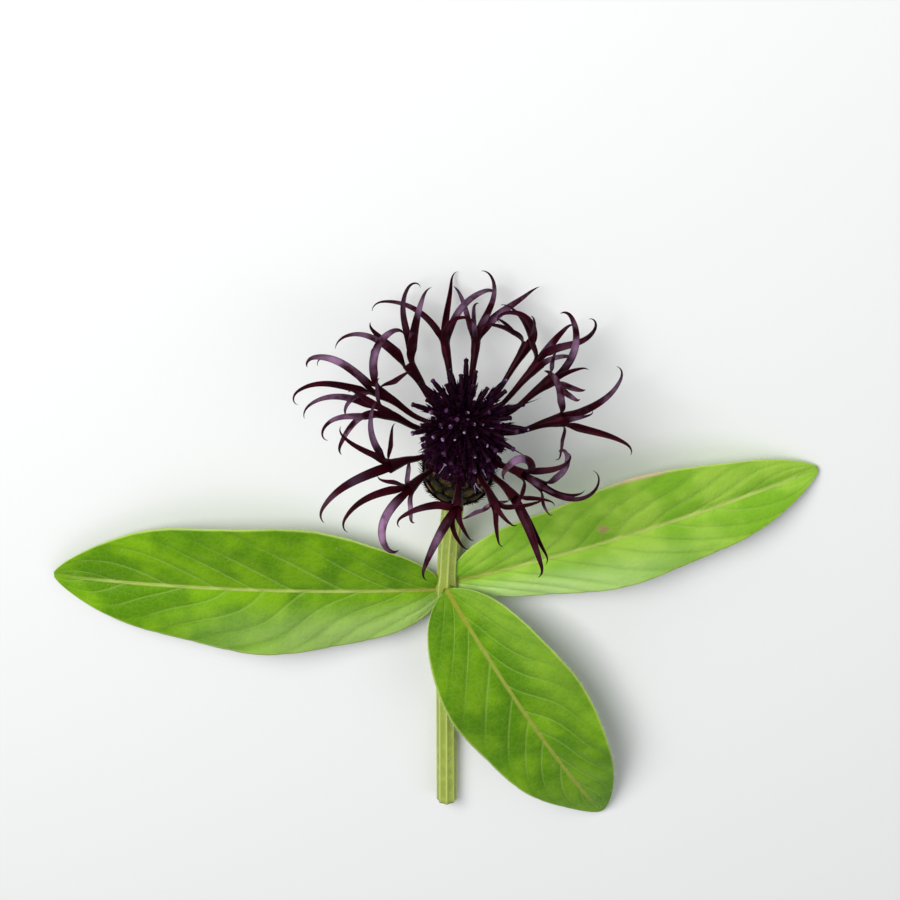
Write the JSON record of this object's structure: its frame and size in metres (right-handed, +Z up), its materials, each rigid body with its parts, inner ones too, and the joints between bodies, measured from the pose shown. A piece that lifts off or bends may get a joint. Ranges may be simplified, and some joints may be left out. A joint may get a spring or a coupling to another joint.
{
  "type": "cornflower",
  "caption": "Picked cornflower lying on a surface: near-black fringed flower head on a scaly cup, short ribbed stem and broad light green leaves.",
  "frame": {"origin": "middle of the flattened line on the stem's underside, on the surface that the flower lies on", "axes": "+Z up from the surface, +Y along the stem towards the flower head, +X to the right of the head as seen from above with the head pointing away"},
  "size_m": [0.147, 0.1294, 0.0408],
  "materials": {
    "stem_green": "pale green ribbed stem, satin, with fine down",
    "leaf_green": "bright yellow-green leaf, soft satin with sunken veins",
    "bract_olive": "olive and tan bracts, dry and matt, with a dark margin",
    "fringe_black": "near-black dry comb of teeth on the bracts",
    "ray_maroon": "blackish maroon petal, velvety, mauve where light grazes it",
    "disc_purple": "near-black purple florets, matt with violet glints",
    "pollen_mauve": "pale mauve pollen, powdery",
    "down_white": "fine whitish hairs"
  },
  "bodies": {
    "root": {"stem": "stem_green", "leaf_left": "leaf_green", "leaf_right": "leaf_green", "leaf_front": "leaf_green", "involucre": "bract_olive", "ray_florets": "ray_maroon", "disc_florets": "disc_purple"}
  },
  "joints": []
}
